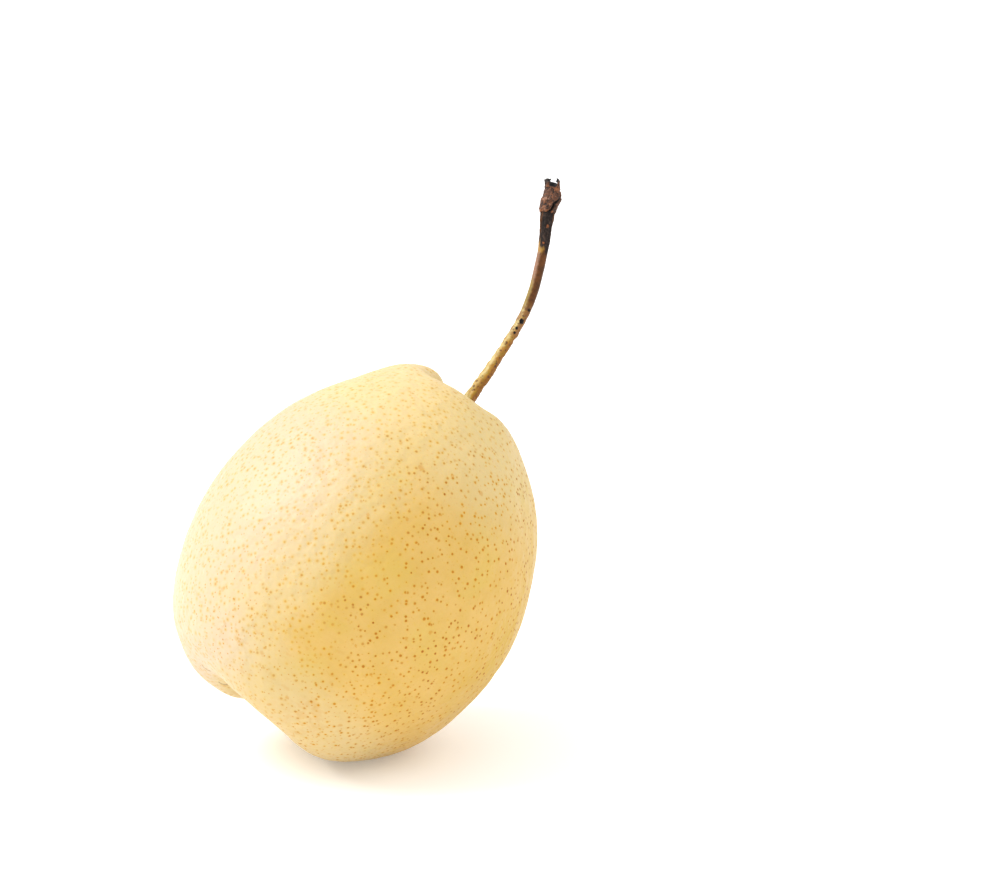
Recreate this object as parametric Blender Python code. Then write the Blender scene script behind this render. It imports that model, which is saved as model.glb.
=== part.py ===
"""A pear resting as picked, with its long stalk and its dried calyx.

Units are metres and +Z is up. The origin is the centre of the small flat spot
that the pear rests on. Each piece is modelled on the pear's own axis, calyx end
down and stalk up, and hangs from an empty that leans the whole pear over until
the flat spot faces the floor.
"""
from math import acos, atan2, cos, hypot, pi, radians, sin

import bmesh
import bpy
from mathutils import Matrix, Vector

MM = 0.001

# How the pear leans: its axis from upright, the way it leans, its turn about its axis.
LEAN = radians(44.5)
HEADING = radians(34.1)
TURN = radians(-34.8)

# The centre of the flat spot, on the pear's own axes, in millimetres.
SPOT = (25.5, 15.3, 8.0)

# Height above the calyx rim and radius of the skin, in millimetres: the calyx basin,
# its rim, the belly, the shoulder, the rim of the stalk's cavity, and the cavity.
SKIN_PROFILE = (
    (6.0, 0.0), (5.6, 2.2), (4.3, 4.6), (1.9, 8.0), (0.4, 12.5),
    (0.9, 18.0), (4.0, 23.8), (9.6, 28.8), (17.2, 32.9), (26.0, 35.8),
    (35.0, 37.0), (44.0, 36.4), (52.5, 34.3), (60.5, 30.8), (67.8, 26.0),
    (74.0, 20.2), (78.3, 14.8), (80.0, 10.2), (79.2, 6.8), (76.3, 4.6),
    (72.0, 3.2), (68.7, 1.8), (68.0, 0.0),
)

# Soft lobes and hollows: angle about the axis, radius, height, reach, push out, push up.
SWELLS = (
    (168, 14, 78, 16, 1.0, 2.6),    # the tall shoulder lobe
    (165, 8, 81, 7.5, -0.6, 1.5),    # its crest beside the cavity
    (-150, 9.5, 80, 6.5, 0.0, -1.6),    # the fold between it and the near shoulder
    (-45, 11.5, 79, 11, 0.2, 0.9),  # the near shoulder
    (-72, 10, 80, 5, 0.0, -0.4),    # the saddle in the cavity's rim
    (10, 22, 70, 24, 1.2, 0.8),     # the full shoulder opposite
    (150, 11.5, 0.5, 11, 0.0, -1.6),    # three lobes of the calyx end
    (-75, 13, 0.5, 20, 0.2, -2.1),
    (-18, 19, 1, 16, 0.3, -1.6),
    (76, 13.5, 0.5, 13, 0.0, 2.8),    # the dip between them
    (30, 33, 14, 26, 1.6, -1.0),    # the full side that the pear rests on
)

# The axis bows sideways by BOW between two heights.
BOW = 2.9
BOW_START = -20.0
BOW_LENGTH = 102.0

# The stalk's line: sideways place, height and radius, in millimetres.
STALK_LINE = (
    (1.0, 70.5, 1.25), (0.6, 75.0, 1.35), (0.0, 80.0, 1.45), (-0.2, 85.0, 1.30),
    (-0.4, 91.0, 1.15), (-0.7, 97.0, 1.05), (-1.3, 103.5, 1.08), (-2.7, 109.5, 1.15),
    (-4.9, 115.2, 1.20), (-7.4, 120.6, 1.28), (-9.9, 125.1, 1.45),
)
# The thick bark knob at its end, where it grew from the twig.
KNOB_LINE = (
    (-10.8, 126.6, 1.60), (-11.3, 127.4, 1.95), (-12.0, 129.2, 2.15),
    (-12.8, 131.1, 2.10), (-13.6, 132.4, 1.85), (-14.2, 133.3, 1.60),
)
STALK_SHARES = 3
BEVEL_RESOLUTION = 4

SEGMENTS = 48
RINGS = 44

# The dried calyx: its narrow base in the basin and its five-lobed outer rim.
CALYX_BASE_HEIGHT = 5.0
CALYX_BASE_RADIUS = 1.5
CALYX_DEPTH = 2.8
CALYX_RIM_RADIUS = 2.9
CALYX_LOBES = 5
CALYX_LOBE_PUSH = 0.25
CALYX_SEGMENTS = 40


def clear_scene():
    for scene_object in list(bpy.data.objects):
        bpy.data.objects.remove(scene_object, do_unlink=True)


def make_material(name, colour, roughness):
    material = bpy.data.materials.new(name)
    material.use_nodes = True
    shader = material.node_tree.nodes["Principled BSDF"]
    shader.inputs["Base Color"].default_value = (*colour, 1.0)
    shader.inputs["Roughness"].default_value = roughness
    shader.inputs["Metallic"].default_value = 0.0
    return material


def smooth_curve(points, steps):
    """Points along a Catmull-Rom curve through the given points, of any number of values."""
    ends = [tuple(2 * a - b for a, b in zip(points[0], points[1]))]
    ends.append(tuple(2 * a - b for a, b in zip(points[-1], points[-2])))
    line = [ends[0], *points, ends[1]]
    curve = []
    for before, start, end, after in zip(line, line[1:], line[2:], line[3:]):
        for step in range(steps):
            t = step / steps
            curve.append(tuple(
                0.5 * (2 * b + (c - a) * t + (2 * a - 5 * b + 4 * c - d) * t ** 2
                       + (3 * b - a - 3 * c + d) * t ** 3)
                for a, b, c, d in zip(before, start, end, after)))
    curve.append(tuple(points[-1]))
    return curve


def even_profile(count):
    """The skin's profile as evenly spaced (height, radius) pairs, basin to cavity."""
    curve = smooth_curve(SKIN_PROFILE, 24)
    lengths = [0.0]
    for (low, inner), (high, outer) in zip(curve, curve[1:]):
        lengths.append(lengths[-1] + hypot(high - low, outer - inner))
    pairs = []
    place = 0
    for index in range(count):
        wanted = lengths[-1] * index / (count - 1)
        while place < len(lengths) - 2 and lengths[place + 1] < wanted:
            place += 1
        share = (wanted - lengths[place]) / (lengths[place + 1] - lengths[place])
        start, end = curve[place], curve[place + 1]
        pairs.append(tuple(a + share * (b - a) for a, b in zip(start, end)))
    return pairs


def falloff(distance, reach):
    """One at the centre of a swell, easing to nothing at its reach."""
    near = max(0.0, 1.0 - distance / reach)
    return near * near * (3.0 - 2.0 * near)


def bow(height):
    share = min(max((height - BOW_START) / BOW_LENGTH, 0.0), 1.0)
    return BOW * sin(pi * share)


def skin_point(height, radius, angle):
    """A point of the skin in millimetres, after the swells and the bow."""
    round_point = Vector((radius * cos(angle), radius * sin(angle), height))
    point = round_point.copy()
    for turn, out, up, reach, push_out, push_up in SWELLS:
        side = Vector((cos(radians(turn)), sin(radians(turn)), 0.0))
        weight = falloff((round_point - Vector((out * side.x, out * side.y, up))).length, reach)
        point += weight * (push_out * side + Vector((0.0, 0.0, push_up)))
    point.x += bow(height)
    return point


def link(piece, collection, axis, material):
    collection.objects.link(piece)
    piece.data.materials.append(material)
    piece.parent = axis


def make_fruit(lean):
    """A round sphere, drawn to the skin's profile ring by ring, and cut flat where it rests."""
    mesh = bpy.data.meshes.new("fruit")
    shape = bmesh.new()
    bmesh.ops.create_uvsphere(shape, u_segments=SEGMENTS, v_segments=RINGS, radius=1.0)
    profile = even_profile(RINGS + 1)
    for vertex in shape.verts:
        ring = round(RINGS * acos(min(max(-vertex.co.z, -1.0), 1.0)) / pi)
        height, radius = profile[ring]
        vertex.co = MM * skin_point(height, radius, atan2(vertex.co.y, vertex.co.x))
    down = lean.to_3x3().inverted() @ Vector((0.0, 0.0, -1.0))
    bmesh.ops.bisect_plane(
        shape, geom=shape.verts[:] + shape.edges[:] + shape.faces[:], dist=1e-7,
        plane_co=MM * Vector(SPOT), plane_no=down, clear_outer=True)
    rim = [edge for edge in shape.edges if edge.is_boundary]
    bmesh.ops.contextual_create(shape, geom=rim)
    bmesh.ops.recalc_face_normals(shape, faces=shape.faces[:])
    shape.to_mesh(mesh)
    shape.free()
    mesh.shade_smooth()
    mesh.set_sharp_from_angle(angle=radians(40))
    return bpy.data.objects.new("fruit", mesh)


def make_stalk():
    """A tapering curve out of the cavity, thick where it grew from the twig."""
    line = smooth_curve(STALK_LINE + KNOB_LINE, STALK_SHARES)
    curve = bpy.data.curves.new("stalk", "CURVE")
    curve.dimensions = "3D"
    curve.bevel_depth = MM
    curve.bevel_resolution = BEVEL_RESOLUTION
    curve.use_fill_caps = True
    spline = curve.splines.new("POLY")
    spline.points.add(len(line) - 1)
    for point, (sideways, height, radius) in zip(spline.points, line):
        point.co = (MM * sideways, 0.0, MM * height, 1.0)
        point.radius = radius
    return bpy.data.objects.new("stalk", curve)


def make_calyx():
    """A short flared plug with a five-lobed rim, deep in the basin at the lower end."""
    mesh = bpy.data.meshes.new("calyx")
    shape = bmesh.new()
    bmesh.ops.create_cone(
        shape, cap_ends=True, cap_tris=False, segments=CALYX_SEGMENTS,
        radius1=CALYX_RIM_RADIUS, radius2=CALYX_BASE_RADIUS, depth=CALYX_DEPTH)
    middle = CALYX_BASE_HEIGHT - CALYX_DEPTH / 2
    for vertex in shape.verts:
        angle = atan2(vertex.co.y, vertex.co.x)
        lobe = 1.0 + CALYX_LOBE_PUSH * cos(CALYX_LOBES * angle) * (vertex.co.z < 0)
        x, y, z = lobe * vertex.co.x, lobe * vertex.co.y, vertex.co.z + middle
        vertex.co = MM * Vector((x + bow(CALYX_BASE_HEIGHT), y, z))
    shape.to_mesh(mesh)
    shape.free()
    return bpy.data.objects.new("calyx", mesh)


def main():
    clear_scene()
    collection = bpy.data.collections.new("pear")
    bpy.context.scene.collection.children.link(collection)

    lean = (Matrix.Rotation(HEADING, 4, "Z") @ Matrix.Rotation(LEAN, 4, "Y")
            @ Matrix.Rotation(TURN, 4, "Z"))
    axis = bpy.data.objects.new("pear_axis", None)
    axis.rotation_euler = lean.to_euler()
    axis.location = -(lean @ (MM * Vector(SPOT)))
    collection.objects.link(axis)

    link(make_fruit(lean), collection, axis, make_material("skin", (0.86, 0.62, 0.24), 0.45))
    link(make_stalk(), collection, axis, make_material("bark", (0.23, 0.13, 0.06), 0.7))
    link(make_calyx(), collection, axis, make_material("dried_calyx", (0.13, 0.07, 0.03), 0.85))


main()
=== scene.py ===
"""A pear at rest on its flat spot: fine skin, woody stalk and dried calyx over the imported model.

Units are metres and +Z is up. Each piece is modelled upright on the pear's own axis, in
millimetres of the tables below, and then leant over onto the flat spot at the origin.
"""
from math import acos, atan2, cos, exp, hypot, pi, radians, sin

import bmesh
import bpy
from mathutils import Matrix, Vector, noise


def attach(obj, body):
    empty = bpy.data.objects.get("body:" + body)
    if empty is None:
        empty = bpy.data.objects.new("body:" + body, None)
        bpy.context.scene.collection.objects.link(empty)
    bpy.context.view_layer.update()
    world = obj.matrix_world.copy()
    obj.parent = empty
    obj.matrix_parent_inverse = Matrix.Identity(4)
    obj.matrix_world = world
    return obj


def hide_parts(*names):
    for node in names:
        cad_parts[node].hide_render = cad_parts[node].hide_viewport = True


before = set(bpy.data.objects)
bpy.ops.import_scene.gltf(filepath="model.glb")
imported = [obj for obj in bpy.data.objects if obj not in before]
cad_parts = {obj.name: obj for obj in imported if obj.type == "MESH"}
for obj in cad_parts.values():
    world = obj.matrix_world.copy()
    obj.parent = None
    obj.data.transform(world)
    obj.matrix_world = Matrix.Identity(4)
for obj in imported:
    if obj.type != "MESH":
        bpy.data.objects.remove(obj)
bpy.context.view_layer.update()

MM = 0.001

# ---------------------------------------------------------------- how the pear lies

# How the axis leans from upright, the way it leans, and the pear's turn about its axis.
LEAN = radians(44.5)
HEADING = radians(34.1)
TURN = radians(-34.8)
# The centre of the flat spot, on the pear's own axes, in millimetres.
SPOT = (25.5, 15.3, 8.0)

TILT = (Matrix.Rotation(HEADING, 4, "Z") @ Matrix.Rotation(LEAN, 4, "Y")
        @ Matrix.Rotation(TURN, 4, "Z"))
PLACE = Matrix.Translation(-(TILT @ (MM * Vector(SPOT)))) @ TILT

# ---------------------------------------------------------------- the skin's shape

# Height above the calyx rim and radius: basin, rim, belly, shoulder, cavity rim, cavity.
SKIN_PROFILE = (
    (6.0, 0.0), (5.6, 2.2), (4.3, 4.6), (1.9, 8.0), (0.4, 12.5),
    (0.9, 18.0), (4.0, 23.8), (9.6, 28.8), (17.2, 32.9), (26.0, 35.8),
    (35.0, 37.0), (44.0, 36.4), (52.5, 34.3), (60.5, 30.8), (67.8, 26.0),
    (74.0, 20.2), (78.3, 14.8), (80.0, 10.2), (79.2, 6.8), (76.3, 4.6),
    (72.0, 3.2), (68.7, 1.8), (68.0, 0.0),
)

# Soft lobes and hollows: angle about the axis, radius, height, reach, push out, push up.
SWELLS = (
    (168, 14, 78, 16, 1.0, 2.6),    # the tall shoulder lobe
    (165, 8, 81, 7.5, -0.6, 1.5),    # its crest beside the cavity
    (-150, 9.5, 80, 6.5, 0.0, -1.6),    # the fold between it and the near shoulder
    (-45, 11.5, 79, 11, 0.2, 0.9),  # the near shoulder
    (-72, 10, 80, 5, 0.0, -0.4),    # the saddle in the cavity's rim
    (10, 22, 70, 24, 1.2, 0.8),     # the full shoulder opposite
    (150, 11.5, 0.5, 11, 0.0, -1.6),    # three lobes of the calyx end
    (-75, 13, 0.5, 20, 0.2, -2.1),
    (-18, 19, 1, 16, 0.3, -1.6),
    (76, 13.5, 0.5, 13, 0.0, 2.8),    # the dip between them
    (30, 33, 14, 26, 1.6, -1.0),    # the full side that the pear rests on
)

# The axis bows sideways, by up to BOW, over a length that starts below the calyx.
BOW = 2.9
BOW_START = -20.0
BOW_LENGTH = 102.0

# Shallow pleats that run into the stalk's cavity and the calyx basin, as further swells.
PLEATS = (
    (75, 6.5, 79, 4.5, 0.0, -0.7), (110, 8, 80, 5, 0.0, 0.5), (25, 7, 79, 4.5, 0.0, -0.8),
    (-20, 7.5, 80, 4.5, 0.0, 0.5), (-120, 7, 79, 4, 0.0, -0.4), (-178, 7, 79, 4, 0.0, -0.5),
    (20, 5.5, 3.5, 3.2, 0.0, 0.6), (95, 5.5, 3.5, 3.2, 0.0, 0.6),
    (-125, 5.5, 3.5, 3.2, 0.0, 0.6), (-55, 5.5, 3.5, 3.2, 0.0, 0.6),
    (112, 9.5, 1.0, 7.0, 0.0, -1.3),    # the far lobe's edge
)

# Waves all over the skin: their size and their depth.
SKIN_RIPPLES = ((14.0, 0.45), (4.5, 0.26))

SKIN_SEGMENTS = 64
SKIN_RINGS = 60
PROFILE_STEPS = 24

# ---------------------------------------------------------------- modelling helpers


def begin(add, **settings):
    """A fresh primitive, the only thing selected."""
    bpy.ops.object.select_all(action="DESELECT")
    add(**settings)
    return bpy.context.object


def edit(piece, action="DESELECT"):
    """Edit mode on a piece, with nothing picked, or with action SELECT everything."""
    bpy.context.view_layer.objects.active = piece
    bpy.ops.object.mode_set(mode="EDIT")
    bpy.ops.mesh.select_mode(type="VERT")
    bpy.ops.mesh.select_all(action=action)


def leave_edit():
    bpy.ops.object.mode_set(mode="OBJECT")


def pick(piece, test):
    """Picks the points that pass a test, in edit mode."""
    shape = bmesh.from_edit_mesh(piece.data)
    for point in shape.verts:
        point.select_set(test(point))
    shape.select_flush_mode()
    bmesh.update_edit_mesh(piece.data)


def pick_faces(piece, test):
    """Picks the faces that pass a test, in edit mode."""
    bpy.ops.mesh.select_mode(type="FACE")
    shape = bmesh.from_edit_mesh(piece.data)
    for face in shape.faces:
        face.select_set(test(face))
    bmesh.update_edit_mesh(piece.data)


def face_outward(piece):
    """Turns every face's front to the outside."""
    edit(piece, "SELECT")
    bpy.ops.mesh.normals_make_consistent(inside=False)
    leave_edit()


def extrude(move):
    bpy.ops.mesh.extrude_region_move(TRANSFORM_OT_translate={"value": move})


def grow(size, centre):
    bpy.ops.transform.resize(value=size, center_override=centre)


def turn_about(angle, axis, centre):
    """Turns what is picked, anticlockwise seen from the axis's positive end."""
    bpy.ops.transform.rotate(value=-angle, orient_axis=axis, center_override=centre)


def modify(piece, kind, **settings):
    """Adds a modifier and applies it."""
    modifier = piece.modifiers.new(kind.lower(), kind)
    for name, value in settings.items():
        setattr(modifier, name, value)
    bpy.context.view_layer.objects.active = piece
    bpy.ops.object.modifier_apply(modifier=modifier.name)


def subdivide(piece, levels):
    modify(piece, "SUBSURF", levels=levels, render_levels=levels)


def ripple(piece, size, depth):
    """Soft, irregular waves over the whole surface, in millimetres."""
    clouds = bpy.data.textures.new("ripple", "CLOUDS")
    clouds.noise_scale = MM * size
    clouds.noise_depth = 1
    modify(piece, "DISPLACE", texture=clouds, texture_coords="LOCAL", strength=MM * depth)


def apply_place(piece):
    bpy.ops.object.select_all(action="DESELECT")
    piece.select_set(True)
    bpy.context.view_layer.objects.active = piece
    bpy.ops.object.transform_apply(location=True, rotation=True, scale=True)


def settle(piece, name, node, finish):
    """Leans an upright piece over onto the flat spot, names it, gives it its finish, hangs it
    under the root and hides the imported part that it stands for.
    """
    piece.name = name
    piece.data.name = name
    piece.matrix_world = PLACE
    apply_place(piece)
    bpy.ops.object.shade_smooth()
    piece.data.materials.clear()
    piece.data.materials.append(finish)
    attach(piece, "root")
    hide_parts(node)


def smooth_curve(points, steps):
    """Points along a Catmull-Rom curve through the given points, of any number of values."""
    ends = [tuple(2 * a - b for a, b in zip(points[0], points[1]))]
    ends.append(tuple(2 * a - b for a, b in zip(points[-1], points[-2])))
    line = [ends[0], *points, ends[1]]
    curve = []
    for before, start, end, after in zip(line, line[1:], line[2:], line[3:]):
        for step in range(steps):
            t = step / steps
            curve.append(tuple(
                0.5 * (2 * b + (c - a) * t + (2 * a - 5 * b + 4 * c - d) * t ** 2
                       + (3 * b - a - 3 * c + d) * t ** 3)
                for a, b, c, d in zip(before, start, end, after)))
    curve.append(tuple(points[-1]))
    return curve


def even_points(curve, count):
    """The same curve as evenly spaced points."""
    lengths = [0.0]
    for start, end in zip(curve, curve[1:]):
        lengths.append(lengths[-1] + hypot(end[0] - start[0], end[1] - start[1]))
    points = []
    place = 0
    for index in range(count):
        wanted = lengths[-1] * index / (count - 1)
        while place < len(lengths) - 2 and lengths[place + 1] < wanted:
            place += 1
        share = (wanted - lengths[place]) / (lengths[place + 1] - lengths[place])
        start, end = curve[place], curve[place + 1]
        points.append(tuple(a + share * (b - a) for a, b in zip(start, end)))
    return points


# ---------------------------------------------------------------- material helpers


class Value:
    """A value that varies over a surface. Arithmetic on it adds Math nodes."""

    def __init__(self, finish, socket):
        self.finish = finish
        self.socket = socket

    def largest(self, other):
        return self.math("MAXIMUM", self, other)

    def math(self, operation, first, second):
        return self.finish.add("Math", {"operation": operation}, {0: first, 1: second})

    def __abs__(self):
        return self.finish.add("Math", {"operation": "ABSOLUTE"}, {0: self})

    def __add__(self, other):
        return self.math("ADD", self, other)

    def __radd__(self, other):
        return self.math("ADD", other, self)

    def __sub__(self, other):
        return self.math("SUBTRACT", self, other)

    def __rsub__(self, other):
        return self.math("SUBTRACT", other, self)

    def __mul__(self, other):
        return self.math("MULTIPLY", self, other)

    def __rmul__(self, other):
        return self.math("MULTIPLY", other, self)

    def __truediv__(self, other):
        return self.math("DIVIDE", self, other)

    def __pow__(self, other):
        return self.math("POWER", self, other)


def off_axis(side, away):
    """How far a place is from the upright axis."""
    return (side * side + away * away) ** 0.5


class Finish:
    """A material and the nodes that give its look."""

    def __init__(self, name, **constants):
        self.material = bpy.data.materials.new(name)
        self.material.use_nodes = True
        self.nodes = self.material.node_tree.nodes
        self.links = self.material.node_tree.links
        self.shader = self.nodes["Principled BSDF"]
        for socket, value in constants.items():
            self.shader.inputs[socket.replace("_", " ")].default_value = value

    def feed(self, socket, value):
        if isinstance(value, Value):
            self.links.new(value.socket, socket)
        else:
            socket.default_value = value

    def add(self, kind, settings, values, output=0):
        """A node of any kind, with its settings and the values or links of its sockets."""
        node = self.nodes.new("ShaderNode" + kind)
        for name, value in settings.items():
            setattr(node, name, value)
        for socket, value in values.items():
            self.feed(node.inputs[socket], value)
        return Value(self, node.outputs[output])

    def place(self):
        """Where a point is on the pear's own axes, in millimetres."""
        here = self.add("TexCoord", {}, {}, "Object")
        turn = tuple(TILT.to_euler())
        return self.add("Mapping", {"vector_type": "TEXTURE"}, {
            "Vector": here, "Location": tuple(PLACE.translation), "Rotation": turn,
            "Scale": (MM, MM, MM)})

    def stored(self, name, output="Vector"):
        """Something stored at each point of the mesh."""
        return self.add("Attribute", {"attribute_name": name}, {}, output)

    def also(self, value, output):
        """Another output of the node that a value comes from."""
        return Value(self, value.socket.node.outputs[output])

    def split(self, vector):
        """The three parts of a vector or a colour."""
        first = self.add("SeparateXYZ", {}, {0: vector}, 0)
        return [first, self.also(first, 1), self.also(first, 2)]

    def vector_math(self, operation, first, second=(0.0, 0.0, 0.0), output="Vector"):
        return self.add("VectorMath", {"operation": operation}, {0: first, 1: second}, output)

    def stretch(self, vector, size):
        """A place, or a push, made larger by its own amount along each axis."""
        return self.vector_math("MULTIPLY", vector, size)

    def reach(self, vector, centre):
        """How far a place is from a centre."""
        return self.vector_math("DISTANCE", vector, centre, "Value")

    def noise(self, vector, size, detail=2.0, roughness=0.5, output="Fac"):
        """Cloudy noise from 0 to 1, about 0.5, with lumps of a size in millimetres."""
        return self.add("TexNoise", {}, {
            "Vector": vector, "Scale": 1 / size, "Detail": detail, "Roughness": roughness}, output)

    def wander(self, vector, size, distance):
        """The same places, pushed about, so that round spots become irregular."""
        clouds = self.noise(vector, size, output="Color")
        push = self.vector_math("SUBTRACT", clouds, (0.5, 0.5, 0.5))
        return self.vector_math("ADD", vector, self.stretch(push, (2 * distance,) * 3))

    def voronoi(self, vector, size, randomness, output):
        """Scattered centres, one to a patch of a size in millimetres."""
        return self.add("TexVoronoi", {}, {
            "Vector": vector, "Scale": 1 / size, "Randomness": randomness}, output)

    def chances(self, value):
        """Two random values of the nearest scattered centre's own."""
        return self.split(self.also(value, "Color"))[:2]

    def scatter(self, vector, normal, size):
        """Spots scattered about the surface, one to a patch of a size in millimetres.

        Gives the distance along the surface to the nearest spot's centre, how far
        its centre lies off the surface, and two random values of its own.
        """
        centre = self.voronoi(vector, size, 0.85, "Position")
        step = self.vector_math("SUBTRACT", vector, centre)
        off = self.vector_math("PROJECT", step, normal)
        along = self.vector_math("SUBTRACT", step, off)
        distance = self.vector_math("LENGTH", along, output="Value")
        depth = self.vector_math("LENGTH", off, output="Value")
        return distance, depth, *self.chances(centre)

    def cells(self, vector, size):
        """Distance to the nearest scattered centre in millimetres, and two random values."""
        distance = self.voronoi(vector, size, 1.0, "Distance")
        return distance * size, *self.chances(distance)

    def fade(self, value, start, end):
        """Eases from 0 where the value is at its start to 1 where it is at its end."""
        return self.add("MapRange", {"interpolation_type": "SMOOTHSTEP"}, {
            "Value": value, "From Min": start, "From Max": end})

    def blend(self, share, first, second):
        """One colour where the share is 0 and another where it is 1."""
        first, second = [
            (*colour, 1.0) if isinstance(colour, tuple) else colour for colour in (first, second)]
        return self.add("Mix", {"data_type": "RGBA"}, {0: share, 6: first, 7: second}, 2)

    def lay(self, colour, *layers):
        """Further colours over a first one, each with its share."""
        for share, tint in layers:
            colour = self.blend(share, colour, tint)
        return colour

    def bump(self, height, depth):
        """Shades fine relief, of a depth in millimetres for a height of 1."""
        normal = self.add("Bump", {}, {"Height": height, "Distance": MM * depth, "Strength": 1.0})
        self.feed(self.shader.inputs["Normal"], normal)

    def paint(self, colour, roughness):
        self.feed(self.shader.inputs["Base Color"], colour)
        self.feed(self.shader.inputs["Roughness"], roughness)
        return self.material


# ---------------------------------------------------------------- the fruit


def bow(height):
    share = min(max((height - BOW_START) / BOW_LENGTH, 0.0), 1.0)
    return BOW * sin(pi * share)


def draw_rings(piece):
    """Resizes and moves each ring of a sphere to its place on the skin's profile."""
    profile = even_points(smooth_curve(SKIN_PROFILE, PROFILE_STEPS), SKIN_RINGS + 1)
    ring_of = {}
    for point in piece.data.vertices:
        share = acos(min(max(-point.co.z / MM, -1.0), 1.0)) / pi
        ring_of[point.index] = round(SKIN_RINGS * share)
    edit(piece)
    for ring, (height, radius) in enumerate(profile):
        flat = -cos(pi * ring / SKIN_RINGS)
        across = sin(pi * ring / SKIN_RINGS)
        pick(piece, lambda point: ring_of[point.index] == ring)
        if 0 < ring < SKIN_RINGS:
            grow((radius / across, radius / across, 1.0), (0.0, 0.0, 0.0))
        bpy.ops.transform.translate(value=(MM * bow(height), 0.0, MM * (height - flat)))
    leave_edit()


def swell(piece, turn, out, up, reach, push_out, push_up):
    """Draws the skin softly out or in around one place."""
    side = Vector((cos(radians(turn)), sin(radians(turn)), 0.0))
    centre = MM * Vector((out * side.x + bow(up), out * side.y, up))
    nearest = min(piece.data.vertices, key=lambda point: (point.co - centre).length).index
    edit(piece)
    pick(piece, lambda point: point.index == nearest)
    bpy.ops.transform.translate(
        value=MM * (push_out * side + Vector((0.0, 0.0, push_up))),
        use_proportional_edit=True, proportional_edit_falloff="SMOOTH",
        proportional_size=MM * reach)
    leave_edit()


def make_fruit():
    """The fruit: a sphere drawn to the skin's profile, softly lobed, and flat where it rests."""
    piece = begin(bpy.ops.mesh.primitive_uv_sphere_add, segments=SKIN_SEGMENTS,
                  ring_count=SKIN_RINGS, radius=MM)
    draw_rings(piece)
    for row in SWELLS + PLEATS:
        swell(piece, *row)
    subdivide(piece, 2)
    for size, depth in SKIN_RIPPLES:
        ripple(piece, size, depth)
    settle(piece, "fruit_skin", "fruit", skin_finish())
    edit(piece)
    pick(piece, lambda point: point.co.z < 0.0)
    grow((1.0, 1.0, 0.0), (0.0, 0.0, 0.0))
    leave_edit()


# Sizes of the skin's patches of colour, and how far apart its spots are, in millimetres.
PATCH_SIZE = 26.0
GREEN_SIZE = 11.0
MOTTLE_SIZE = 7.0
SPOT_SPACING = 1.55
FINE_SPACING = 1.25
LARGE_SPACING = 8.0

# Heights between which the skin changes, in millimetres.
SHOULDER = (50.0, 69.0)
CAVITY = (60.0, 66.0)
BASIN = (16.0, 10.0)
LOW_END = (30.0, 8.0)
PALE_END = (14.0, 2.0)

# A rubbed place low on the near lobe, and small curved brown marks on the far one.
RUBBED = (12.0, -19.9, 1.8)
MARKS = ((-6.1, 2.7, 0.5), (-10.9, -3.3, 0.2))
MARK_RADIUS = 1.1

CREAM = (0.59, 0.463, 0.297)
LEMON = (0.60, 0.52, 0.25)
WARM_CREAM = (0.67, 0.505, 0.25)
GOLD = (0.625, 0.405, 0.115)
DEEP_GOLD = (0.59, 0.378, 0.090)
GREEN_GOLD = (0.58, 0.415, 0.080)
REFLECTED_GOLD = (0.555, 0.345, 0.040)
HOLLOW_GREEN = (0.58, 0.44, 0.13)
SPOT_HALO = (0.62, 0.385, 0.028)
SPOT_TAN = (0.51, 0.22, 0.008)
SPOT_BROWN = (0.34, 0.10, 0.004)
RUSSET = (0.28, 0.15, 0.055)


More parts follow.
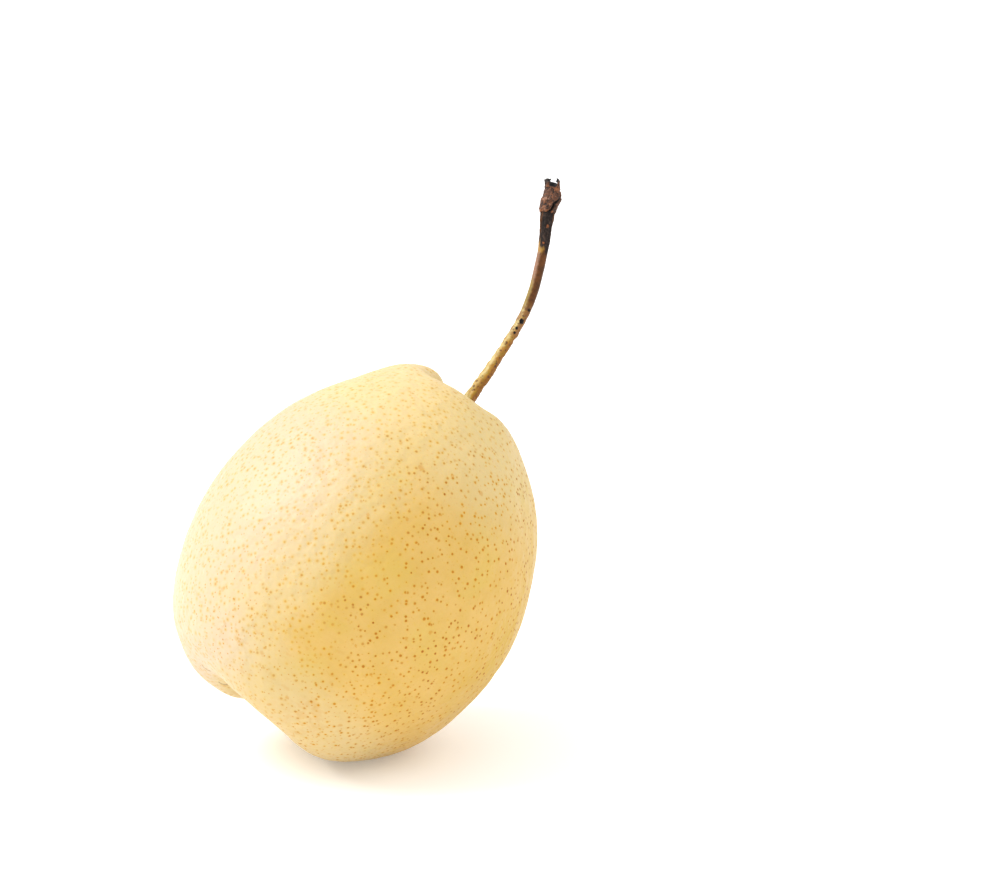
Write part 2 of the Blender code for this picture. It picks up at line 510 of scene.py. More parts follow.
def skin_finish():
    """Cream to golden skin, freckled all over with small tan spots."""
    skin = Finish("pear_skin", Subsurface_Weight=0.1, Subsurface_Radius=(1.0, 0.55, 0.2),
                  Subsurface_Scale=0.003, Specular_IOR_Level=0.24)
    place = skin.place()
    normal = skin.add("TexCoord", {}, {}, "Normal")
    here = skin.stretch(skin.also(normal, "Object"), (1 / MM,) * 3)
    side, away, height = skin.split(place)
    out = off_axis(side, away)

    # Broad patches of gold and green gold, a painted reflection in deeper gold, a painted
    # highlight in cream, and cream on the shoulder and at the calyx end.
    patches = skin.noise(place, PATCH_SIZE, 2.0)
    mottle = skin.noise(place, MOTTLE_SIZE, 3.0)
    # Painted highlight: cream, with a lemon edge, on the side toward the key lamp, its edge tilted
    # to rise towards the top.
    turned = side + 10.0 * (patches - 0.5) + 5.0 * (mottle - 0.5) - 0.08 * (height - 35.0)
    shoulder = skin.fade(height + 8.0 * (patches - 0.5), *SHOULDER)
    near_right = skin.fade(side, 12.0, 30.0)
    pale = skin.fade(turned, 7.5, -19.0)
    pale = pale.largest(0.60 * shoulder * (1.0 - 0.8 * near_right))
    pale = pale + 0.42 * skin.fade(height, *PALE_END)
    green = skin.fade(skin.noise(place, GREEN_SIZE, 3.0), 0.5, 0.72)
    # Painted reflection: deeper, greener gold on the right side and its rim, for warm light
    # reflected onto it.
    painted_reflection = side + 0.9 * away + 0.1 * (height - 40.0) + 4.0 * (mottle - 0.5)
    painted_reflection = skin.fade(painted_reflection, 6.0, 27.0) * skin.fade(height, 14.0, 42.0)
    painted_reflection = painted_reflection * skin.fade(away, 24.0, -4.0)
    colour = skin.blend(skin.fade(mottle, 0.3, 0.7), GOLD, DEEP_GOLD)
    colour = skin.lay(
        colour, (green * 0.4, GREEN_GOLD), (0.8 * painted_reflection, REFLECTED_GOLD),
        (pale, skin.blend(shoulder, CREAM, WARM_CREAM)), (1.1 * pale * (1.0 - pale), LEMON))

    # The hollows at the two ends: greener, then brown where the stalk and calyx grow.
    in_cavity = skin.fade(height, *CAVITY)
    in_basin = skin.fade(height, *BASIN)
    top_hollow = skin.fade(out, 9.0, 4.5) * in_cavity
    low_hollow = skin.fade(out, 9.5, 5.0) * in_basin
    streaks = skin.noise(skin.wander(place, 2.0, 0.6), 0.9, 4.0, 0.6)
    top_russet = skin.fade(out + 3.0 * (streaks - 0.5), 4.6, 3.0) * in_cavity
    low_russet = skin.fade(out + 5.0 * (streaks - 0.5), 6.0, 3.4) * in_basin

    # Spots: middling ones, stronger to the right and each with its own halo, and weaker on the
    # pale skin, the painted highlight included.
    ends = skin.fade(height + 6.0 * (patches - 0.5), *LOW_END)
    ragged = skin.wander(here, 1.2, 0.09)
    distance, depth, size, dark = skin.scatter(ragged, normal, SPOT_SPACING)
    distance = distance / (0.75 + 0.5 * size) + 0.45 * skin.fade(depth, 0.40, 0.80)
    strength = (0.28 + 0.50 * dark) * (1.0 + 1.20 * skin.fade(side, 0.0, 20.0))
    strength = strength * (1.0 - 0.38 * pale) * (1.0 - 0.15 * ends)
    core = skin.fade(distance, 0.36, 0.11) * strength
    halo = skin.fade(distance, 0.75, 0.15) * (0.35 + 0.5 * dark)

    # Finer ones, which crowd the lower end, and a few large and ragged ones. The brown of
    # the middling spots changes from one of these large patches to the next.
    distance, depth, _, dark = skin.scatter(ragged, normal, FINE_SPACING)
    fine = skin.fade(distance + 0.2 * skin.fade(depth, 0.2, 0.6), 0.24, 0.08)
    fine = fine * skin.fade(dark, 0.1, 0.5) * (0.32 + 0.30 * pale + 0.6 * ends)
    distance, _, size, dark = skin.scatter(skin.wander(here, 0.8, 0.45), normal, LARGE_SPACING)
    large = skin.fade(distance / (0.5 + 0.6 * size), 0.62, 0.3) * skin.fade(dark, 0.3, 0.5)
    core_colour = skin.blend(dark, SPOT_TAN, SPOT_BROWN)

    # Faint scuffs all over, and the rubbed place.
    scuffs = skin.noise(skin.stretch(skin.wander(place, 3.0, 1.2), (1.0, 1.0, 1.8)), 2.6, 3.0)
    scuffed = skin.fade(scuffs, 0.60, 0.72) * 0.16 * (0.3 + ends)
    rubbed = skin.fade(skin.reach(place, RUBBED) + 9.0 * (mottle - 0.5), 8.0, 2.0)
    rubbed = rubbed * skin.fade(scuffs, 0.40, 0.62) * 0.25

    colour = skin.lay(
        colour, (top_hollow * 0.7, HOLLOW_GREEN), (low_hollow * 0.5, HOLLOW_GREEN),
        (halo * 0.5, SPOT_HALO), (core, core_colour), (fine * 0.7, SPOT_TAN),
        (scuffed, SPOT_TAN), (rubbed, SPOT_TAN), (large * 0.55 * (1.0 - 0.6 * pale), SPOT_TAN))
    for centre in MARKS:
        near = skin.reach(skin.wander(place, 1.5, 0.15), centre)
        mark = skin.fade(abs(near - MARK_RADIUS), 0.26, 0.12)
        mark = mark * skin.fade(away, centre[1] - 0.3, centre[1] + 0.5)
        colour = skin.blend(mark * 0.8, colour, RUSSET)
    colour = skin.lay(colour, (top_russet * 0.75, RUSSET), (low_russet * 0.75, RUSSET))

    dents = skin.noise(place, 3.6, 2.0)
    pores = skin.noise(place, 0.9, 3.0)
    skin.bump(12.0 * dents + 0.5 * pores + 0.9 * core + 0.5 * fine, 0.05)
    roughness = 0.44 + 0.12 * (mottle - 0.5) + 0.12 * core + 0.25 * (top_russet + low_russet)
    return skin.paint(colour, roughness)


# ---------------------------------------------------------------- the stalk

# Sideways place, height and radius, in millimetres, out of the cavity and over in a bow.
STALK_LINE = (
    (1.0, 70.5, 1.25), (0.6, 75.0, 1.38), (0.0, 80.0, 1.48), (-0.2, 85.0, 1.33),
    (-0.4, 91.0, 1.17), (-0.7, 97.0, 1.05), (-1.3, 103.5, 1.08), (-2.7, 109.5, 1.14),
    (-4.9, 115.2, 1.18), (-7.4, 120.6, 1.21), (-9.1, 123.6, 1.38), (-10.05, 125.3, 1.57),
    (-10.95, 127.0, 1.66),
)
STALK_SIDES = 18
STALK_STEPS = 6

# Heights on the stalk between which its bark, its painted highlight and its painted shadow change,
# in millimetres.
LUMPS_END = (102.0, 108.0)
WRINKLES_START = (117.0, 119.5)
RED_FOOT = (77.0, 73.0)
SCARS_START = (97.5, 100.5)
RED_START = (103.5, 108.0)
SHINE_START = (103.0, 108.0)
LILAC_START = (110.5, 114.0)
COLLAR_START = (117.4, 118.8)
CHARRED_START = (118.3, 119.7)
TIP_START = (126.0, 126.7)

# Round patches on the stalk's near side: sideways place, height and radius.
EMBERS = ((0.2, 123.7, 0.33), (-0.3, 120.3, 0.24))
SCABS = ((0.3, 102.9, 0.60), (0.8, 105.8, 0.45), (-0.05, 101.0, 0.34), (0.1, 99.9, 0.28))
NEAR_SIDE = -1.1

OLIVE = (0.32, 0.21, 0.025)
OCHRE = (0.46, 0.225, 0.03)
PALE_GREEN_HIGHLIGHT = (0.57, 0.46, 0.21)
RED_BARK = (0.12, 0.042, 0.010)
DARK_BARK = (0.075, 0.028, 0.008)
LOW_BROWN = (0.22, 0.085, 0.018)
STREAK_BROWN = (0.34, 0.165, 0.035)
SCAR_BROWN = (0.24, 0.12, 0.055)
OLIVE_HIGHLIGHT = (0.34, 0.25, 0.06)
LILAC_HIGHLIGHT = (0.36, 0.20, 0.13)
PURPLE_BARK = (0.10, 0.04, 0.025)
COLLAR_OCHRE = (0.40, 0.23, 0.04)
CHARCOAL = (0.011, 0.007, 0.006)
GREY_BARK = (0.036, 0.025, 0.021)
EMBER = (0.42, 0.13, 0.04)
BLACK = (0.004, 0.003, 0.003)


def make_stalk():
    """The stalk: a small disc extruded, turned and resized from place to place along its line."""
    line = smooth_curve(STALK_LINE, STALK_STEPS)
    centres = [Vector((MM * sideways, 0.0, MM * height)) for sideways, height, _ in line]
    leans = []
    for before, after in zip([centres[0], *centres], [*centres[1:], centres[-1]]):
        step = after - before
        leans.append(atan2(step.x, step.z))
    piece = begin(bpy.ops.mesh.primitive_circle_add, vertices=STALK_SIDES, radius=MM * line[0][2],
                  fill_type="NGON", location=centres[0])
    apply_place(piece)
    edit(piece, "SELECT")
    turn_about(leans[0], "Y", centres[0])
    for index in range(1, len(line)):
        extrude(centres[index] - centres[index - 1])
        turn_about(leans[index] - leans[index - 1], "Y", centres[index])
        change = line[index][2] / line[index - 1][2]
        grow((change, change, change), centres[index])
    leave_edit()
    straighten(piece, centres, leans)
    face_outward(piece)
    subdivide(piece, 2)
    roughen(piece, stalk_relief)
    settle(piece, "stalk_bark", "stalk", stalk_finish())


def store_places(piece, places):
    """Stores where each point would be if its piece were straight, in millimetres."""
    straight = piece.data.attributes.new("straight", "FLOAT_VECTOR", "POINT")
    for point, place in zip(piece.data.vertices, places):
        straight.data[point.index].vector = place


def straighten(piece, centres, leans):
    """Finds the nearest place on the stem's line for each point, and straightens it there."""
    along = [Vector((sin(lean), 0.0, cos(lean))) for lean in leans]
    across = [Vector((cos(lean), 0.0, -sin(lean))) for lean in leans]
    places = []
    for point in piece.data.vertices:
        steps = [point.co - centre for centre in centres]
        gaps = [abs(step.dot(way)) + 0.2 * step.length for step, way in zip(steps, along)]
        index = gaps.index(min(gaps))
        offset = steps[index] / MM
        places.append((offset.dot(across[index]), offset.y, centres[index].z / MM))
    store_places(piece, places)


def roughen(piece, relief_of):
    """Moves each point along its normal, and stores how far, in millimetres."""
    straight = piece.data.attributes["straight"]
    moves = []
    for point in piece.data.vertices:
        moves.append(relief_of(Vector(straight.data[point.index].vector)))
    relief = piece.data.attributes.new("relief", "FLOAT", "POINT")
    for point, move in zip(piece.data.vertices, moves):
        relief.data[point.index].value = move
    normals = [point.normal.copy() for point in piece.data.vertices]
    for point, normal, move in zip(piece.data.vertices, normals, moves):
        point.co += MM * move * normal


def ease(value, start, end):
    """Eases from 0 at the start to 1 at the end."""
    share = min(max((value - start) / (end - start), 0.0), 1.0)
    return share * share * (3.0 - 2.0 * share)


def lumps(place, size):
    return noise.noise(place / size)


def stalk_relief(place):
    """Small lumps low down, smooth in the middle, wrinkled lengthwise near the top."""
    height = place.z
    low = 1.0 - ease(height, *LUMPS_END)
    dry = ease(height, *WRINKLES_START)
    along = Vector((place.x, place.y, height * 0.12))
    wrinkles = 1.0 - abs(lumps(along, 0.42)) * 2.6
    knobs = lumps(place, 1.5) + 0.6 * lumps(place + Vector((7.0, 3.0, 1.0)), 0.7)
    waves = lumps(Vector((2.0, 5.0, height)), 4.0)
    return (0.21 * low * knobs + 0.03 * (1.0 - low) * knobs + 0.05 * waves
            + dry * (0.10 * wrinkles - 0.06 + 0.05 * lumps(place, 0.9)))


def blobs(finish, place, rows):
    """Ragged round patches on the near side of the stalk."""
    patches = []
    for across, up, radius in rows:
        ragged = finish.wander(place, 0.45, 0.9 * radius)
        away = finish.reach(ragged, (across, NEAR_SIDE, up))
        patches.append(finish.fade(away, radius + 0.15, radius - 0.1))
    return sum(patches[1:], patches[0])


def stalk_finish():
    """Olive and ochre bark below, smooth red-brown above it, charred and wrinkled near the end."""
    bark = Finish("stalk_bark", Specular_IOR_Level=0.16)
    place = bark.stored("straight")
    relief = bark.stored("relief", "Fac")
    side, _, height = bark.split(place)
    mottle = bark.noise(place, 1.1, 3.0)
    fine = bark.noise(place, 0.35, 3.0)
    ragged = bark.noise(bark.stretch(place, (1.0, 1.0, 0.35)), 0.8, 3.0)
    up = height + 4.0 * (ragged - 0.5)
    tone = mottle - 0.5 + 0.5 * (fine - 0.5)

    # The lower half: olive, ochre and brown, with a broken painted highlight in pale green on the
    # side toward the key lamp, specks and streaks.
    broken = bark.noise(bark.stretch(place, (1.0, 1.0, 0.5)), 1.3, 3.0)
    painted_highlight_edge = bark.fade(side + tone, 0.15, -0.6) * (0.35 + bark.fade(broken, 0.38, 0.56) * 0.65)
    brown = bark.fade(bark.noise(place, 2.4, 3.0), 0.44, 0.58)
    brown = brown * bark.fade(side + tone, -0.6, 0.1)
    brown = (bark.fade(side + tone, 0.05, 0.6) * 0.85).largest(0.55 * brown)
    distance, size, dark = bark.cells(bark.wander(place, 0.5, 0.2), 0.75)
    specks = bark.fade(distance / (0.5 + size), 0.30, 0.14) * bark.fade(dark, 0.2, 0.4)
    scarred = bark.fade(up, *SCARS_START) * bark.fade(mottle, 0.38, 0.55)
    streaks = bark.noise(bark.stretch(place, (1.0, 1.0, 0.4)), 0.6, 4.0, 0.6)
    low = bark.blend(bark.fade(mottle, 0.36, 0.62), OLIVE, OCHRE)
    low = bark.lay(
        low, (painted_highlight_edge, PALE_GREEN_HIGHLIGHT), (brown, LOW_BROWN), (specks * 0.8, PURPLE_BARK),
        (bark.fade(up, *RED_FOOT) * 0.6, RED_BARK), (scarred * 0.75, SCAR_BROWN),
        (bark.fade(streaks, 0.50, 0.66) * 0.55, STREAK_BROWN))

    # The middle: smooth red-brown, with a painted highlight, olive low down and lilac higher up,
    # on the side toward the key lamp, and an ochre collar above it.
    middle = bark.blend(bark.fade(mottle, 0.35, 0.65), RED_BARK, DARK_BARK)
    highlight_tint = bark.blend(bark.fade(up, *LILAC_START), OLIVE_HIGHLIGHT, LILAC_HIGHLIGHT)
    middle = bark.blend(bark.fade(side + 0.5 * tone, -0.2, -0.95) * 0.65, middle, highlight_tint)
    collar = bark.fade(up, *COLLAR_START) * bark.fade(side + tone, 0.4, -0.2)
    colour = bark.lay(
        low, (bark.fade(up, *RED_START), middle), (collar * 0.65, COLLAR_OCHRE))

    # The dry end: charcoal and grey, with painted highlights in lilac on its ridges, painted shade
    # in black in its wrinkles, two small orange patches, and a painted shadow in black at its tip,
    # under the knob.
    edge = abs(side + 0.4 * tone)
    dry = bark.blend(bark.fade(fine, 0.35, 0.75), CHARCOAL, GREY_BARK)
    dry = bark.lay(
        dry, (bark.fade(edge, 1.0, 1.3) * 0.6, RED_BARK),
        # painted highlight on the ridges
        (bark.fade(relief, 0.03, 0.12) * 0.2, LILAC_HIGHLIGHT),
        # painted shade in the wrinkles
        (bark.fade(relief, -0.02, -0.12) * 0.8, BLACK),
        # orange patches, then a painted shadow in black at the tip, under the knob
        (blobs(bark, place, EMBERS) * 0.55, EMBER), (bark.fade(height, *TIP_START), BLACK))
    charred = bark.fade(up + side, *CHARRED_START)

    # Dark, shiny scabs on the near side, halfway up.
    scabs = blobs(bark, place, SCABS)
    colour = bark.lay(colour, (charred, dry), (scabs, BLACK))

    shiny = bark.fade(up, *SHINE_START)
    roughness = 0.6 - 0.2 * shiny + 0.35 * charred + 0.2 * (fine - 0.5) - 0.35 * scabs
    bark.bump(fine + 0.6 * mottle - 0.5 * specks, 0.08)
    return bark.paint(colour, roughness)


# ---------------------------------------------------------------- the bark knob

# Height above the knob's foot, radius, how far its centre is pushed sideways, and its tilt.
KNOB_RINGS = (
    (0.0, 1.35, 0.05, 0), (0.05, 1.70, -0.05, 0), (0.35, 1.90, -0.12, 0),
    (1.2, 2.02, -0.10, 0), (2.2, 2.10, 0.05, 0), (3.2, 2.14, 0.26, 4), (4.2, 2.06, 0.32, 12),
    (5.3, 1.88, 0.20, 22), (6.95, 1.72, 0.05, 34),
)
KNOB_FOOT = (-10.6, 0.0, 126.4)
KNOB_LEAN = radians(-27.0)
KNOB_SIDES = 20
CROWN_RADIUS = KNOB_RINGS[-1][1]
CROWN_WALL = 0.50
CROWN_DEPTH = 1.6
RIM_HEIGHT = 5.0
# The horns of its crown: between which angles each stands, and how far each of its steps
# goes sideways and up, and narrows.
HORNS = (
    (115, 235, ((-0.12, 0.25, 1.12), (0.02, 0.28, 1.10), (0.25, 0.18, 1.0))),
    (-45, 30, ((0.08, 0.50, 0.9), (-0.05, 0.45, 0.85), (-0.65, 0.20, 0.75))),
)

# The cleft starts at this angle at the knob's foot, and winds on this far in a millimetre.
CLEFT_START = -1.55
CLEFT_WIND = 0.285
CLEFT_DEPTH = 0.70
RIDGE_HEIGHT = 0.24

KNOB_DARK = (0.07, 0.026, 0.013)
KNOB_BROWN = (0.145, 0.058, 0.028)
KNOB_ORANGE = (0.32, 0.11, 0.035)
KNOB_HIGHLIGHT_PINK = (0.40, 0.21, 0.14)


def make_knob():
    """The knob of old bark: a lumpy drum with a deep cleft and a broken, hollow crown."""
    foot, first, shift, _ = KNOB_RINGS[0]
    piece = begin(bpy.ops.mesh.primitive_circle_add, vertices=KNOB_SIDES, radius=MM * first,
                  fill_type="NGON", location=(MM * shift, 0.0, MM * foot))
    apply_place(piece)
    edit(piece, "SELECT")
    for below, above in zip(KNOB_RINGS, KNOB_RINGS[1:]):
        centre = (MM * above[2], 0.0, MM * above[0])
        extrude((MM * (above[2] - below[2]), 0.0, MM * (above[0] - below[0])))
        turn_about(radians(above[3] - below[3]), "X", centre)
        change = above[1] / below[1]
        grow((change, change, change), centre)
    # The crown is hollow, and broken lower on the near side.
    narrower = 1.0 - CROWN_WALL / CROWN_RADIUS
    extrude((0.0, 0.0, 0.0))
    grow((narrower, narrower, narrower), centre)
    extrude((0.0, 0.0, -MM * CROWN_DEPTH))
    grow((0.7, 0.7, 1.0), centre)
    # Two horns of bark stand up from its rim, a broad one and a thin one.
    for low_turn, high_turn, steps in HORNS:
        pick_faces(piece, lambda face: is_rim(face, low_turn, high_turn))
        for sideways, up, narrower in steps:
            extrude((MM * sideways, 0.0, MM * up))
            grow((narrower, narrower, 1.0), picked_middle(piece))
    leave_edit()
    face_outward(piece)
    store_places(piece, [point.co / MM for point in piece.data.vertices])
    subdivide(piece, 3)
    roughen(piece, knob_relief)
    piece.location = MM * Vector(KNOB_FOOT)
    piece.rotation_euler = (0.0, KNOB_LEAN, 0.0)
    apply_place(piece)
    settle(piece, "bark_knob", "stalk", knob_finish())


def is_rim(face, low_turn, high_turn):
    """Whether a face lies on the crown's rim between two angles."""
    middle = face.calc_center_median()
    turn = atan2(middle.y, middle.x) * 180 / pi
    turn += 360 if turn < low_turn - 1 and turn + 360 <= high_turn else 0
    wide = hypot(middle.x, middle.y) > MM * (CROWN_RADIUS - 1.2 * CROWN_WALL)
    top = face.normal.z > 0.7 and middle.z > MM * RIM_HEIGHT
    return top and wide and low_turn <= turn <= high_turn


def picked_middle(piece):
    shape = bmesh.from_edit_mesh(piece.data)
    picked = [point.co.copy() for point in shape.verts if point.select]
    return sum(picked, Vector()) / len(picked)


def knob_relief(place):
    """Lumps, pits and fine cracks, and a deep cleft that winds up one side."""
    turn = atan2(place.y, place.x)
    height = place.z
    lumpy = 0.17 * lumps(place, 1.2) + 0.15 * lumps(place + Vector((5.0, 1.0, 9.0)), 0.55)
    folds = abs(lumps(Vector((place.x, place.y, height * 0.6)) + Vector((1.0, 8.0, 4.0)), 0.6))
    cracks = -0.14 * exp(-(folds / 0.08) ** 2)
    fine = 0.08 * lumps(place, 0.26)
    cleft_turn = CLEFT_START + CLEFT_WIND * height + 0.10 * sin(2.1 * height)
    gap = abs(turn - cleft_turn) * 2.0
    cleft = -CLEFT_DEPTH * exp(-(gap / 0.25) ** 2) * (1.0 - ease(height, 5.2, 6.2))
    ridge = RIDGE_HEIGHT * exp(-((turn - cleft_turn - 0.34) * 2.0 / 0.32) ** 2)
    ridge *= ease(height, 1.2, 3.6) * (1.0 - ease(height, 5.0, 6.0))
    inside = hypot(place.x, place.y) < CROWN_RADIUS - 0.3 and height > 4.6
    return (lumpy + cracks + fine + cleft + ridge) * (0.4 if inside else 1.0)


def knob_finish():
    """Cracked red-brown bark, with a painted highlight in pink-grey on its ridges toward the key
    lamp, black in a net of cracks, painted shade in black where it dips and inside its crown, and
    a painted shadow along its foot.
    """
    bark = Finish("knob_bark", Specular_IOR_Level=0.3)
    place = bark.stored("straight")
    relief = bark.stored("relief", "Fac")
    side, away, height = bark.split(place)
    mottle = bark.noise(place, 1.0, 3.0)
    fine = bark.noise(place, 0.25, 4.0, 0.6)
    scale = bark.cells(bark.wander(place, 0.4, 0.3), 0.9)[0]
    # Painted highlight: pink-grey on raised ridges on the side toward the key lamp.
    painted_ridge_highlight = bark.fade(relief, 0.05, 0.17) * bark.fade(side, 0.9, -0.8)
    foot = bark.fade(height + 0.6 * (fine - 0.5), 0.6, 0.2)
    rim = bark.fade(height, 5.1, 5.5) * bark.fade(away, -0.6, -1.1)
    # Painted shade: black inside the hollow crown.
    hollow = bark.fade(off_axis(side, away) + 0.3 * (fine - 0.5), 1.5, 1.25)
    hollow = hollow * bark.fade(height, 4.4, 4.7)
    horn = bark.fade(height + 0.3 * (mottle - 0.5), 6.3, 6.9) * bark.fade(side, 0.2, -0.4)
    colour = bark.blend(bark.fade(mottle, 0.35, 0.65), KNOB_DARK, KNOB_BROWN)
    colour = bark.lay(
        colour, (bark.fade(fine, 0.45, 0.7) * 0.6, KNOB_ORANGE), (painted_ridge_highlight * 0.7, KNOB_HIGHLIGHT_PINK),
        ((foot + rim) * 0.55, KNOB_ORANGE), (bark.fade(scale, 0.42, 0.62) * 0.6, BLACK),
        # painted shade: black where the surface dips and inside the crown; the horns charred
        (bark.fade(relief, -0.05, -0.16) * 0.9, BLACK), (hollow, BLACK), (horn * 0.9, CHARCOAL),
        # painted shadow: black along the foot, under the knob's lower edge
        (bark.fade(height, 0.06, 0.0) * 0.9, BLACK))
    bark.bump(fine + 0.5 * mottle, 0.12)
    return bark.paint(colour, 0.42 + 0.3 * fine)


# ---------------------------------------------------------------- the dried calyx

CALYX_FOOT = (0.0, 0.0, 5.6)
SEPALS = 5
# How far each row of a sepal is out from the middle, down from its foot, and half its width.
SEPAL_ROWS = (
    (0.9, 0.0, 0.62), (1.45, 0.9, 0.92), (1.95, 1.9, 1.0), (2.5, 2.8, 0.82),
    (3.1, 3.4, 0.55), (3.65, 3.6, 0.28), (4.0, 3.35, 0.07),
)
SEPAL_COLUMNS = 4
SEPAL_CUP = 0.35
SEPAL_THICKNESS = 0.22
CUP_RADIUS = 1.15
CUP_HEIGHT = 1.6
CUP_DROP = 0.6
CUP_WALL = 0.32
CUP_DEPTH = 0.9
STAMENS = 11
STAMEN_TURN = 2.39996   # from each stamen to the next, so that no two stand in line
STAMEN_DROP = 1.5

HUSK_BROWN = (0.15, 0.075, 0.035)
HUSK_TIP = (0.30, 0.21, 0.13)


def make_sepal():
    """One dried sepal: a small sheet narrowed row by row, cupped, and given its thickness."""
    rows = len(SEPAL_ROWS)
    piece = begin(bpy.ops.mesh.primitive_grid_add, x_subdivisions=SEPAL_COLUMNS,
                  y_subdivisions=rows - 1, size=2.0)
    places = {}
    for point in piece.data.vertices:
        places[point.index] = round((point.co.y + 1.0) / 2.0 * (rows - 1))
    edit(piece)
    for row, (out, down, half) in enumerate(SEPAL_ROWS):
        pick(piece, lambda point: places[point.index] == row)
        grow((MM * half, 1.0, 1.0), (0.0, 0.0, 0.0))
        bpy.ops.transform.translate(
            value=(0.0, MM * out + 1.0 - 2.0 * row / (rows - 1), -MM * down))
    pick(piece, lambda point: abs(point.co.x) < MM * 0.02)
    bpy.ops.transform.translate(value=(0.0, MM * SEPAL_CUP, MM * 0.1))
    leave_edit()
    modify(piece, "SOLIDIFY", thickness=MM * SEPAL_THICKNESS, offset=0.0)
    return piece


def copy_of(piece):
    bpy.ops.object.select_all(action="DESELECT")
    piece.select_set(True)
    bpy.context.view_layer.objects.active = piece
    bpy.ops.object.duplicate()
    return bpy.context.object


def make_calyx():
    """The calyx: five dried sepals curled out of a small cup, round a few withered stamens."""
    first = make_sepal()
    parts = [first]
    for index in range(1, SEPALS):
        parts.append(copy_of(first))
    for index, part in enumerate(parts):
        scale = 1.0 + 0.12 * sin(2.4 * index)
        part.scale = (scale, scale, 1.0 - 0.10 * sin(1.7 * index + 0.6))
        turn = radians(360.0 / SEPALS * index + 20.0)
        part.rotation_euler = (radians(5.0) * sin(3.1 * index), 0.0, turn)
    cup = begin(bpy.ops.mesh.primitive_cylinder_add, vertices=20, radius=MM * CUP_RADIUS,
                depth=MM * CUP_HEIGHT, location=(0.0, 0.0, -MM * CUP_DROP))
    edit(cup)
    pick_faces(cup, lambda face: face.normal.z < -0.9)
    bpy.ops.mesh.inset(thickness=MM * CUP_WALL)
    extrude((0.0, 0.0, MM * CUP_DEPTH))
    grow((0.6, 0.6, 1.0), (0.0, 0.0, 0.0))
    leave_edit()
    parts.append(cup)
    for index in range(STAMENS):
        turn = STAMEN_TURN * index
        reach = 0.25 + 0.045 * index
        length = 1.5 + 0.5 * sin(5.0 * index)
        stamen = begin(
            bpy.ops.mesh.primitive_cone_add, vertices=7, radius1=MM * 0.10, radius2=MM * 0.05,
            depth=MM * length,
            location=(MM * reach * cos(turn), MM * reach * sin(turn), -MM * STAMEN_DROP),
            rotation=(pi + 0.3 * sin(turn), 0.3 * cos(turn), 0.0))
        tip = begin(
            bpy.ops.mesh.primitive_ico_sphere_add, subdivisions=1, radius=MM * 0.14,
            location=(MM * reach * 1.5 * cos(turn), MM * reach * 1.5 * sin(turn),
                      -MM * (STAMEN_DROP + length / 2)))
        parts += [stamen, tip]
    for part in parts:
        apply_place(part)
    bpy.ops.object.select_all(action="DESELECT")
    for part in parts:
        part.select_set(True)
    bpy.context.view_layer.objects.active = first
    bpy.ops.object.join()
    store_places(first, [point.co / MM for point in first.data.vertices])
    subdivide(first, 2)
    roughen(first, calyx_relief)
    first.location = MM * (Vector(CALYX_FOOT) + Vector((bow(CALYX_FOOT[2]), 0.0, 0.0)))
    apply_place(first)
    settle(first, "dried_calyx", "calyx", calyx_finish())


def calyx_relief(place):
    return 0.05 * lumps(place, 0.5) + 0.03 * lumps(place + Vector((3.0, 1.0, 2.0)), 0.22)


def calyx_finish():
    """Withered brown, grey at the edges, darkest in the cup."""
    husk = Finish("withered_calyx")
    place = husk.stored("straight")
    side, away, _ = husk.split(place)
    mottle = husk.noise(place, 0.7, 3.0)
    fine = husk.noise(place, 0.16, 3.0)
    out = off_axis(side, away)
    colour = husk.blend(husk.fade(mottle, 0.35, 0.65), DARK_BARK, HUSK_BROWN)
    colour = husk.lay(
        colour, (husk.fade(out + 1.2 * (mottle - 0.5), 2.6, 3.8) * 0.6, HUSK_TIP),
        (husk.fade(out, 1.1, 0.5) * 0.7, CHARCOAL))
    husk.bump(fine + mottle, 0.1)
    return husk.paint(colour, 0.72 + 0.2 * (fine - 0.5))


make_fruit()
make_stalk()
make_knob()
make_calyx()

# ---------------------------------------------------------------- floor, light and camera

WHITE = (1.0, 1.0, 1.0, 1.0)
FLOOR_WHITE = (0.90, 0.90, 0.90, 1.0)
FLOOR_RADIUS = 4.0
FLOOR_GLOW = 0.20

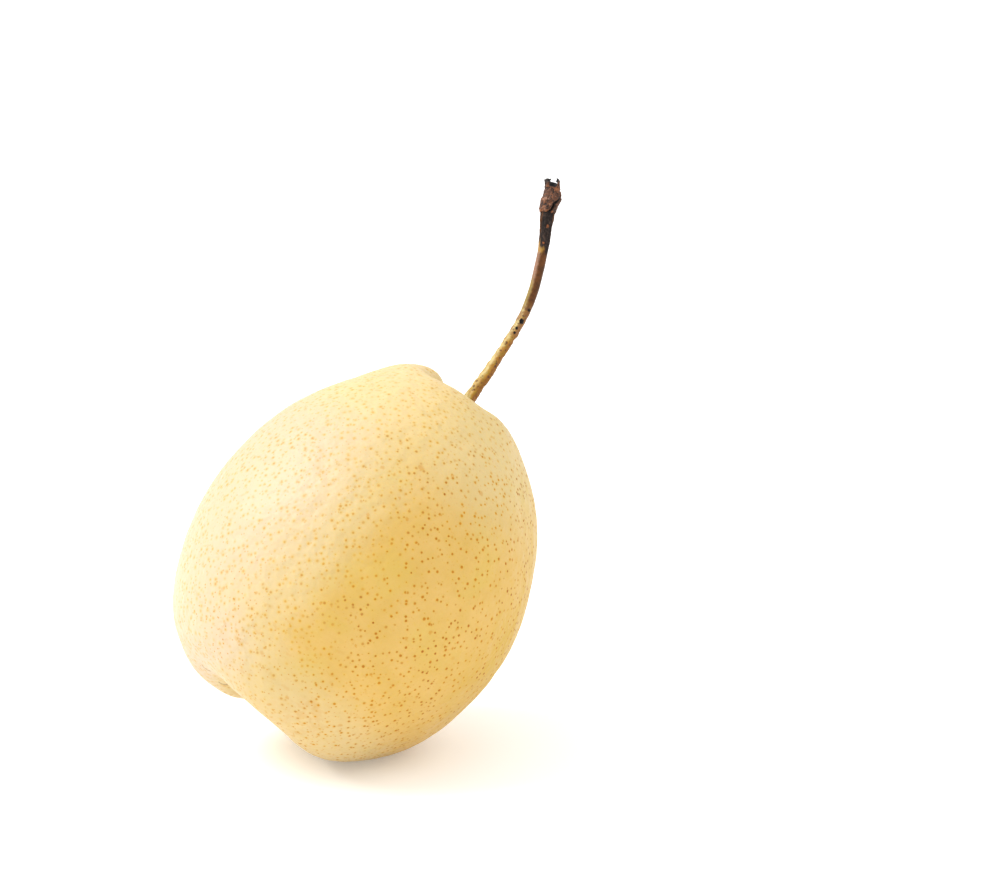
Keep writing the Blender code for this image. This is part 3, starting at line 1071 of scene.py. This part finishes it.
# Soft round lamps: place, size and power, and a slightly warm colour.
LAMPS = {
    "key": ((-0.72, 0.0, 0.84), 0.75, 11.0, (1.0, 0.985, 0.955)),
    "fill": ((0.75, -0.12, 0.75), 0.60, 1.8, (1.0, 0.97, 0.95)),
}
LAMP_AIM = (0.0, 0.0, 0.04)


def make_floor():
    """A wide white floor that glows faintly, like a light table, so that shadows stay pale."""
    piece = begin(bpy.ops.mesh.primitive_circle_add, vertices=96, radius=FLOOR_RADIUS,
                  fill_type="NGON")
    piece.name = "floor"
    floor = Finish("pale_floor", Emission_Color=WHITE, Emission_Strength=FLOOR_GLOW)
    piece.data.materials.append(floor.paint(FLOOR_WHITE, 0.9))


def soft_light(name, place, size, power, colour):
    light = bpy.data.lights.new(name, "AREA")
    light.shape = "DISK"
    light.size = size
    light.energy = power
    light.color = colour
    lamp = bpy.data.objects.new(name, light)
    lamp.location = place
    lamp.rotation_euler = (Vector(LAMP_AIM) - Vector(place)).to_track_quat("-Z", "Y").to_euler()
    bpy.context.scene.collection.objects.link(lamp)


CAMERA_ELEVATION = radians(14.0)
CAMERA_DISTANCE = 0.75
CAMERA_LENS = 126.36
CAMERA_SENSOR = 36.0
CAMERA_AIM = Vector((0.0310, 0.0002, 0.0694))


def make_camera():
    data = bpy.data.cameras.new("camera")
    data.lens = CAMERA_LENS
    data.sensor_width = CAMERA_SENSOR
    camera = bpy.data.objects.new("camera", data)
    back = Vector((0.0, -cos(CAMERA_ELEVATION), sin(CAMERA_ELEVATION)))
    camera.location = CAMERA_AIM + CAMERA_DISTANCE * back
    camera.rotation_euler = (pi / 2 - CAMERA_ELEVATION, 0.0, 0.0)
    bpy.context.scene.collection.objects.link(camera)
    bpy.context.scene.camera = camera


def make_light():
    world = bpy.data.worlds.new("studio")
    world.use_nodes = True
    background = world.node_tree.nodes["Background"]
    background.inputs["Color"].default_value = WHITE
    background.inputs["Strength"].default_value = 1.0
    bpy.context.scene.world = world
    for name, settings in LAMPS.items():
        soft_light(name, *settings)


make_floor()
make_light()
make_camera()
bpy.context.scene.view_settings.view_transform = "Standard"
